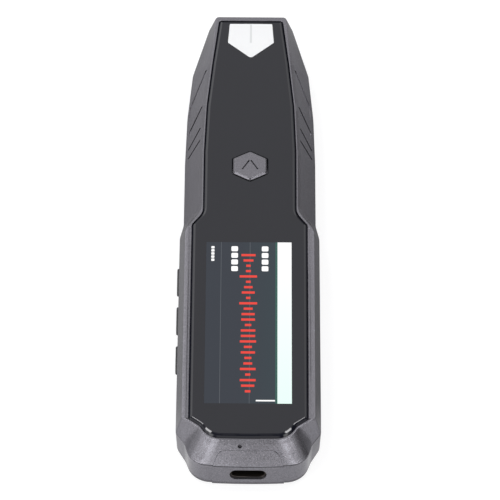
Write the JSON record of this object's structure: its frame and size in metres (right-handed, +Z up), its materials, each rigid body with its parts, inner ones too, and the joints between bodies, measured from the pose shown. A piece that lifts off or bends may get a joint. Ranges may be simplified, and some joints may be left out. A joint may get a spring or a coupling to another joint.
{
  "type": "handheld translator",
  "caption": "Flat pen-shaped scanning translator with a display, a hexagonal front button, side buttons, an aiming window over an open scanning mouth, and a charging inlet.",
  "frame": {"origin": "middle of the flat back that it rests on", "axes": "+X to the right of the display, +Y towards the scanning tip, +Z up out of the display"},
  "size_m": [0.0367, 0.1507, 0.0133],
  "materials": {
    "shell_paint": "fine metallic gunmetal paint on moulded plastic",
    "key_paint": "fine metallic gunmetal paint",
    "panel_black": "high gloss, bevelled edge, printed black behind",
    "window_white": "polished, frosted white behind",
    "tape_black": "double-sided tape",
    "switch_steel": "pressed sheet cover",
    "plunger_black": "moulded",
    "frame_steel": "pressed tray",
    "display_glass": "polished display glass",
    "flex_amber": "polyimide film",
    "board_green": "solder mask",
    "chip_black": "moulded package",
    "shield_tin": "pressed can",
    "battery_wrap": "laminated foil pouch",
    "foam_grey": "adhesive foam",
    "inlet_steel": "drawn steel",
    "tongue_black": "moulded, plated contacts",
    "speaker_black": "moulded",
    "mesh_cloth": "acoustic cloth",
    "boot_rubber": "soft moulded",
    "hood_white": "white moulded",
    "lens_glass": "coated",
    "lamp_white": "cast lens",
    "screw_steel": "blackened"
  },
  "bodies": {
    "housing": {"battery": "battery_wrap", "battery_pad": "foam_grey", "camera_flex": "flex_amber", "camera_housing": "speaker_black", "camera_lens": "lens_glass", "case_screws": "screw_steel", "display_flex": "flex_amber", "display_frame": "frame_steel", "display_glass": "display_glass", "front_bezel": "shell_paint", "front_panel": "panel_black", "front_switch": "switch_steel", "light_board": "board_green", "light_leds": "lamp_white", "main_board": "board_green", "memory_chip": "chip_black", "mic_boot": "boot_rubber", "microphone": "inlet_steel", "panel_tape": "tape_black", "processor_chip": "chip_black", "radio_shield": "shield_tin", "rear_shell": "shell_paint", "scan_hood": "hood_white", "side_switch_1": "switch_steel", "side_switch_2": "switch_steel", "side_switch_3": "switch_steel", "speaker": "speaker_black", "speaker_mesh": "mesh_cloth", "usb_shell": "inlet_steel", "usb_tongue": "tongue_black", "window_lens": "window_white"},
    "hex_button": {"hex_button": "key_paint", "front_plunger": "plunger_black"},
    "side_button_1": {"side_button_1": "key_paint", "side_plunger_1": "plunger_black"},
    "side_button_2": {"side_button_2": "key_paint", "side_plunger_2": "plunger_black"},
    "side_button_3": {"side_button_3": "key_paint", "side_plunger_3": "plunger_black"}
  },
  "joints": [
    {"name": "hex_button_press", "type": "slide", "parent": "housing", "child": "hex_button", "axis": [0, 0, -1], "range_m": [0, 0.0003], "stiffness_N_per_m": 900},
    {"name": "side_button_1_press", "type": "slide", "parent": "housing", "child": "side_button_1", "axis": [1, 0, 0], "range_m": [0, 0.0003], "stiffness_N_per_m": 900},
    {"name": "side_button_2_press", "type": "slide", "parent": "housing", "child": "side_button_2", "axis": [1, 0, 0], "range_m": [0, 0.0003], "stiffness_N_per_m": 900},
    {"name": "side_button_3_press", "type": "slide", "parent": "housing", "child": "side_button_3", "axis": [1, 0, 0], "range_m": [0, 0.0003], "stiffness_N_per_m": 900}
  ]
}
